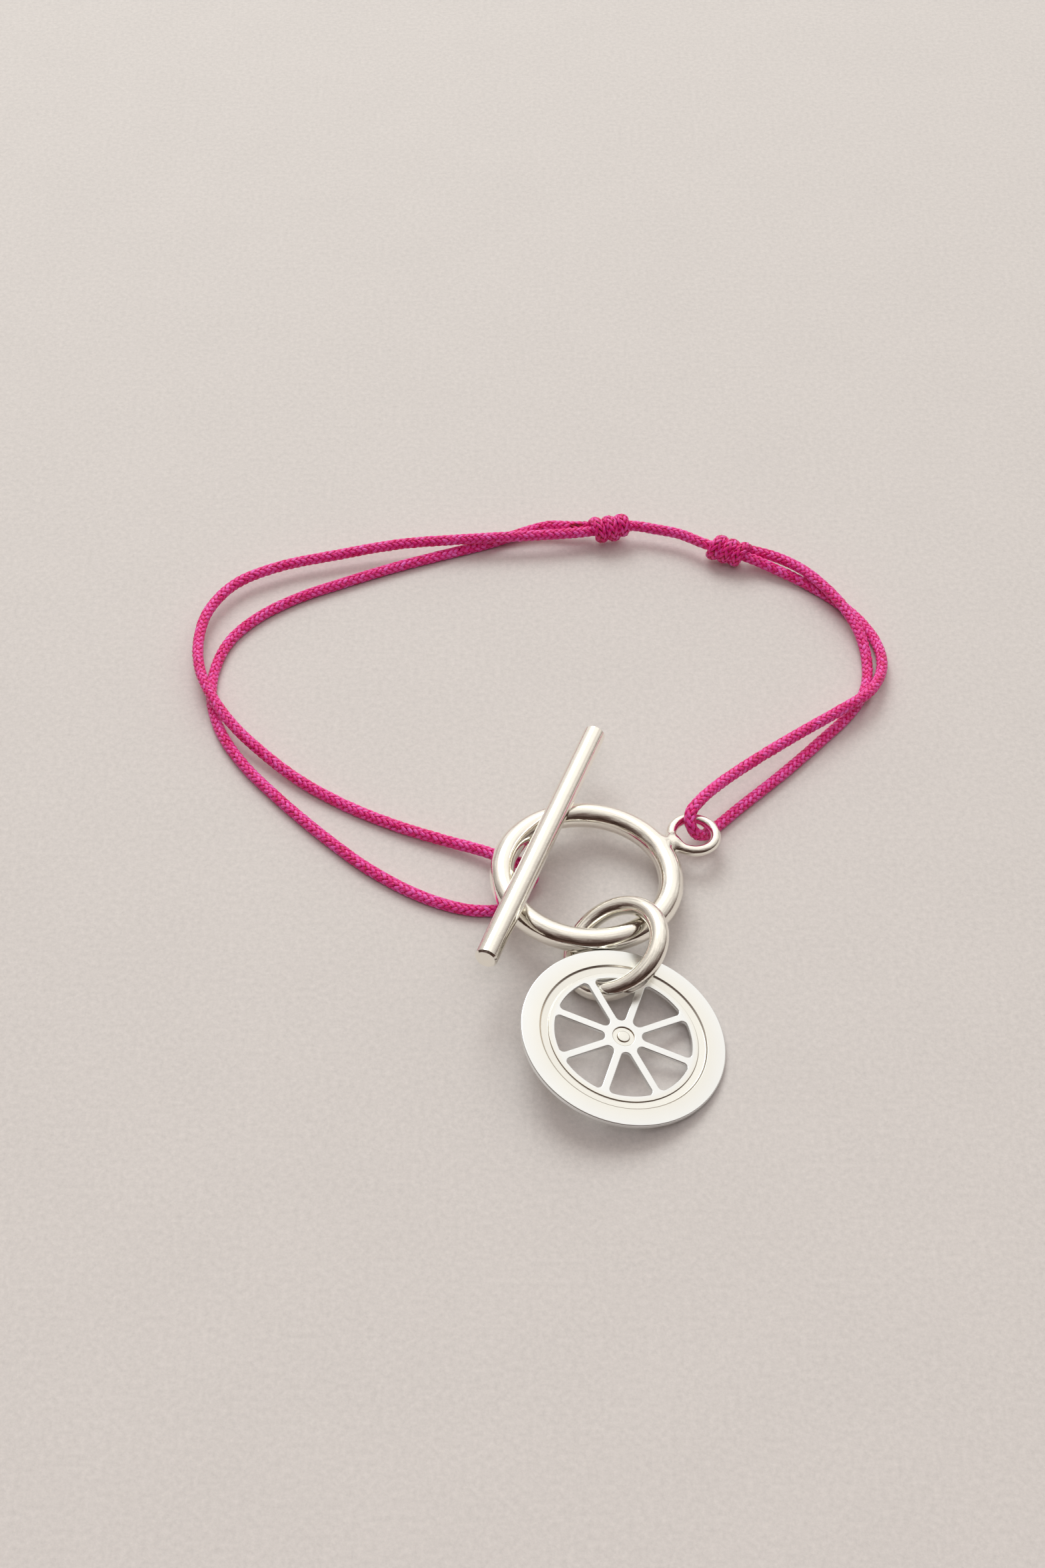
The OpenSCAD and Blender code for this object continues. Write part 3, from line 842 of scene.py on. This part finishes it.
def fit_to_distance(obj, distance):
    """Moves each point onto the surface where the distance is zero, and gives it that surface's normal."""
    mesh = obj.data
    p = np.empty(len(mesh.vertices) * 3)
    mesh.vertices.foreach_get("co", p)
    p = p.reshape(-1, 3)
    for _ in range(FIT_STEPS):
        slopes = [(distance(p + FIT_EPS * axis) - distance(p - FIT_EPS * axis)) / (2 * FIT_EPS)
                  for axis in np.eye(3)]
        slope = np.stack(slopes, axis=1)
        p = p - distance(p)[:, None] * slope / (slope ** 2).sum(axis=1)[:, None]
    mesh.vertices.foreach_set("co", p.ravel())
    mesh.polygons.foreach_set("use_smooth", [True] * len(mesh.polygons))
    mesh.normals_split_custom_set_from_vertices(slope / np.linalg.norm(slope, axis=1)[:, None])
    mesh.update()


def make_toggle_ring():
    """Ring and eye from overlapping solids, remeshed as one skin that is then fitted to the true surface."""
    way = Vector(eye_way())
    ring = wire_ring("toggle_ring_polished", RING_R, RING_WIRE, RING_POINTS)
    eye = wire_ring("eye", EYE_R, EYE_WIRE, EYE_POINTS)
    place(eye, Matrix.Translation(EYE_OUT * way))
    half = NECK_LEN / 2
    profile = [(0, -half), (NECK_R, -half), (NECK_R, half), (0, half)]
    neck = mesh_object("neck", *lathe(profile, NECK_SIDES, False))
    place(neck, Matrix.Translation(NECK_MID * way) @ turned(0, 90, EYE_BEARING))
    joined_solid(ring, [eye, neck], SHARP_NONE)
    place(ring, Matrix.Scale(1 / MM, 4))
    remesh = ring.modifiers.new("skin", "REMESH")
    remesh.mode = "VOXEL"
    remesh.voxel_size = VOXEL
    apply_modifiers(ring)
    place(ring, Matrix.Scale(MM, 4))
    fit_to_distance(ring, toggle_ring_distance)
    place(ring, ring_place())
    return ring


def make_toggle_bar():
    """Turned bar with softened chamfers, and the round eye soldered below it."""
    half, r, cut = BAR_LEN / 2, BAR_D / 2, BAR_CHAMFER
    ends = rounded([(0, -half, 0), (r - cut, -half, BAR_SOFT), (r, cut - half, BAR_SOFT),
                    (r, half - cut, BAR_SOFT), (r - cut, half, BAR_SOFT), (0, half, 0)], BAR_EDGE_POINTS)
    middle = [(r, -half / 2 + half * k / BAR_PARTS) for k in range(BAR_PARTS + 1)]
    near_end = len(ends) // 2
    profile = ends[:near_end] + middle + ends[near_end:]
    bar = mesh_object("toggle_bar_polished", *lathe(profile, BAR_SIDES, False))
    place(bar, turned(0, 90, 0))
    eye = wire_ring("bar_eye", BAR_EYE_R, BAR_EYE_WIRE, BAR_EYE_POINTS)
    place(eye, bar_eye_place())
    joined_solid(bar, [eye], SHARP_BAR)
    place(bar, bar_place())
    return bar


def make_link_ring():
    """The plain ring that joins the toggle ring and the wheel."""
    ring = wire_ring("link_ring_polished", LINK_R, LINK_WIRE, LINK_POINTS)
    place(ring, Matrix.Translation(LINK_AT) @ turned(*LINK_TURN))
    return ring


def arc(centre, r, start, end, count):
    """Points on an arc; angles in degrees."""
    angles = np.radians(np.linspace(start, end, count))
    return [(centre[0] + r * math.cos(a), centre[1] + r * math.sin(a)) for a in angles]


def gap_outline():
    """Outline of one gap between two spokes, pointing along +X, with rounded corners."""
    half = 180 / SPOKES
    inset = SPOKE_W / 2
    out = WHEEL_R - BAND_W - GROOVE_W - INNER_W
    tip_x = (inset + TIP_R) / math.sin(math.radians(half))
    far = out - CORNER_R
    corner_a = half - math.degrees(math.asin((inset + CORNER_R) / far))
    corner_x, corner_y = far * math.cos(math.radians(corner_a)), far * math.sin(math.radians(corner_a))
    return (arc((tip_x, 0), TIP_R, 90 + half, 270 - half, TIP_POINTS)
            + arc((corner_x, -corner_y), CORNER_R, -90 - half, -corner_a, CORNER_POINTS)
            + arc((0, 0), out, SIDE_INSET - corner_a, corner_a - SIDE_INSET, SIDE_POINTS)
            + arc((corner_x, corner_y), CORNER_R, corner_a, 90 + half, CORNER_POINTS))


def add_outline(curve, points):
    """Adds a closed outline to a curve."""
    spline = curve.splines.new("POLY")
    spline.points.add(len(points) - 1)
    for spot, (x, y) in zip(spline.points, points):
        spot.co = (x, y, 0, 1)
    spline.use_cyclic_u = True


def spoke_plate():
    """The pierced plate, with rounded edges round each gap. Its curve is drawn in millimetres."""
    top, bottom = -INNER_STEP - HAIR, HAIR - WHEEL_T
    curve = bpy.data.curves.new("spokes", "CURVE")
    curve.dimensions = "2D"
    curve.fill_mode = "BOTH"
    outer = WHEEL_R - BAND_W - GROOVE_W - INNER_W / 2
    for r, count in ((outer, PLATE_SIDES), (SINK_R, HUB_SIDES)):
        add_outline(curve, arc((0, 0), r / MM, 0, 360 * (count - 1) / count, count))
    for k in range(SPOKES):
        turn = Matrix.Rotation(2 * math.pi * (k + 0.5) / SPOKES, 2)
        add_outline(curve, [tuple(turn @ Vector(p) / MM) for p in gap_outline()])
    curve.bevel_depth = EDGE_R / MM
    curve.bevel_resolution = BEVEL_RINGS
    curve.extrude = (top - bottom) / 2 / MM - curve.bevel_depth
    curve.offset = -curve.bevel_depth
    holder = link(bpy.data.objects.new("spokes", curve))
    bpy.context.view_layer.update()
    mesh = bpy.data.meshes.new_from_object(holder.evaluated_get(bpy.context.evaluated_depsgraph_get()))
    bpy.data.objects.remove(holder)
    plate = link(bpy.data.objects.new("spoke_plate", mesh))
    place(plate, Matrix.Translation((0, 0, (top + bottom) / 2)) @ Matrix.Scale(MM, 4))
    return plate


def make_wheel():
    """Rim with its band, groove and narrow ring, joined to the pierced plate and to the hub."""
    groove_out = WHEEL_R - BAND_W
    groove_in = groove_out - GROOVE_W
    inside = groove_in - INNER_W + OVERLAP
    rim = rounded([(inside, -WHEEL_T, 0), (WHEEL_R, -WHEEL_T, EDGE_R), (WHEEL_R, 0, RIM_EDGE),
                   (groove_out, 0, GROOVE_EDGE),
                   (groove_out - GROOVE_SLOPE, -GROOVE_DROP, SLOPE_FOOT),
                   (groove_in + GROOVE_WALL, -GROOVE_DEPTH, WALL_FOOT),
                   (groove_in, -INNER_STEP, INNER_EDGE), (inside, -INNER_STEP, 0)], WHEEL_EDGE_POINTS)
    wheel = mesh_object("wheel_satin", *lathe(rim, RIM_SIDES, True))

    bottom, low, top = 2 * HAIR - WHEEL_T, -INNER_STEP - SINK_DEPTH, BUTTON_RISE - INNER_STEP
    shoulder = (BUTTON_R - BUTTON_SHOULDER[0], top - BUTTON_SHOULDER[1], BUTTON_EDGE)
    button = rounded([(BUTTON_R, low, 0), shoulder, (0, top, 0)], WHEEL_EDGE_POINTS)
    profile = [(0, bottom), (SINK_R + EDGE_R, bottom), (SINK_R + EDGE_R, low)] + button
    hub = mesh_object("hub", *lathe(profile, HUB_SIDES, False))
    joined_solid(wheel, [spoke_plate(), hub], SHARP_WHEEL)

    # Mask of the hollows, where the material paints shade
    r = np.array([math.hypot(vertex.co.x, vertex.co.y) for vertex in wheel.data.vertices])
    in_hollow = (r < SINK_R + EDGE_R) | ((r > groove_in - EDGE_R) & (r < groove_out + EDGE_R))
    hollow = wheel.data.attributes.new("hollow", "FLOAT", "POINT")
    hollow.data.foreach_set("value", in_hollow.astype(float))
    spin = turned(0, 0, WHEEL_TURN[2])
    place(wheel, Matrix.Translation(WHEEL_AT) @ wheel_tilt() @ spin)
    return wheel


# Floor, lights and surroundings

def make_stage():
    """The sheet of paper that the bracelet lies on."""
    corners = [(x * FLOOR_HALF, y * FLOOR_HALF, 0) for x, y in ((-1, -1), (1, -1), (1, 1), (-1, 1))]
    floor = mesh_object("floor", corners, [(0, 1, 2, 3)])
    floor.data.materials.append(paper_material())


def make_light(name, location, width, power, colour, mirrored):
    """A round lamp that points at the bracelet; mirrored says whether metal shows it."""
    data = bpy.data.lights.new(name, "AREA")
    data.shape = "DISK"
    data.size = width
    data.energy = power
    data.color = colour
    lamp = link(bpy.data.objects.new(name, data))
    lamp.location = location
    way = Vector(LIGHTS_TARGET) - Vector(location)
    lamp.rotation_euler = way.to_track_quat("-Z", "Y").to_euler()
    lamp.visible_glossy = mirrored


def make_surroundings():
    """A bright soft room above, dark near the floor on the viewer's side, as a window-lit table has."""
    world = bpy.data.worlds.new("room")
    bpy.context.scene.world = world
    m = Nodes(world, "Background")
    way = m.add("ShaderNodeTexCoord").outputs["Generated"]
    clutter = m.math("MULTIPLY", m.noise(way, Scale=CLUTTER_SCALE), CLUTTER)
    side = m.math("ADD", clutter, m.dot(way, ROOM_SIDE))
    # The clutter's noise is 0.5 on average
    first, last = ROOM_RANGE
    share = m.span(side, first + CLUTTER / 2, last + CLUTTER / 2, 0, 1)
    stops = [((value - first) / (last - first), colour) for value, colour in ROOM_STOPS]
    m.wire(m.ramp(share, stops), m.shader.inputs["Color"])
    m.set(Strength=ROOM_STRENGTH)


make_camera()

# Cord first: one run from the left knot's tail to the right knot's tail
route = (ROUTE_LEFT + ROUTE_BACK + bore_line(KNOT_LEFT_MID, KNOT_LEFT_TURN) + BETWEEN_KNOTS
         + bore_line(KNOT_RIGHT_MID, KNOT_RIGHT_TURN) + ROUTE_RIGHT + ROUTE_HOME)
samples = smooth_path(route, CORD_STEP, CORD_SOFTEN)
cord_track = Track(samples, pressed_at_eyes(samples))
cord_finish = cord_material()
braid_right = braid("cord_braid_right_hand", cord_track, (1,), True)
braid_left = braid("cord_braid_left_hand", cord_track, (-1,), False)
points, press = wraps_track(KNOT_LEFT_MID, KNOT_LEFT_TURN, samples[::-1], WRAPS_LEFT)
left_track = Track(points, press, cord_track.u[0])
knot_left = braid("knot_left_wraps", left_track, (1, -1), True)
points, press = wraps_track(KNOT_RIGHT_MID, KNOT_RIGHT_TURN, samples, WRAPS_RIGHT)
right_track = Track(points, press, cord_track.u[-1], cord_track.length)
knot_right = braid("knot_right_wraps", right_track, (1, -1), True)
for piece in (braid_right, braid_left, knot_left, knot_right):
    piece.data.materials.append(cord_finish)
    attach(piece, "root")
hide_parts("cord")
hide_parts("knot_left")
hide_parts("knot_right")

polished = metal_material("polished_silver", colour=(0.95, 0.925, 0.85), rough=0.09, spread=0.04,
                          grain_scale=3800, grain_bump=0.14, ripple_bump=0.45)
# The wheel's axis, against which shade is painted in its hollows
wheel_axis = tuple(wheel_tilt().to_3x3() @ Vector((0, 0, 1)))
satin = metal_material("satin_silver", colour=(0.852, 0.872, 0.87), rough=0.23, spread=0.02,
                       grain_scale=5200, grain_bump=0.015, ripple_bump=0.02, axis=wheel_axis)
for make, node, finish, slot in ((make_toggle_ring, "toggle_ring", polished, "silver"),
                                 (make_toggle_bar, "toggle_bar", polished, "silver"),
                                 (make_link_ring, "link_ring", polished, "silver"),
                                 (make_wheel, "wheel_pendant", satin, "satin_silver")):
    piece = make()
    piece.data.materials.clear()
    piece.data.materials.append(finish)
    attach(piece, "root")
    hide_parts(node)

make_stage()
make_light("window", WINDOW_AT, WINDOW_WIDTH, WINDOW_POWER, WINDOW_COLOUR, True)
make_light("window_glow", WINDOW_AT, WINDOW_WIDTH, GLOW_POWER, WINDOW_COLOUR, False)
make_light("fill", FILL_AT, FILL_WIDTH, FILL_POWER, FILL_COLOUR, False)
make_surroundings()
bpy.context.scene.view_settings.view_transform = "Standard"
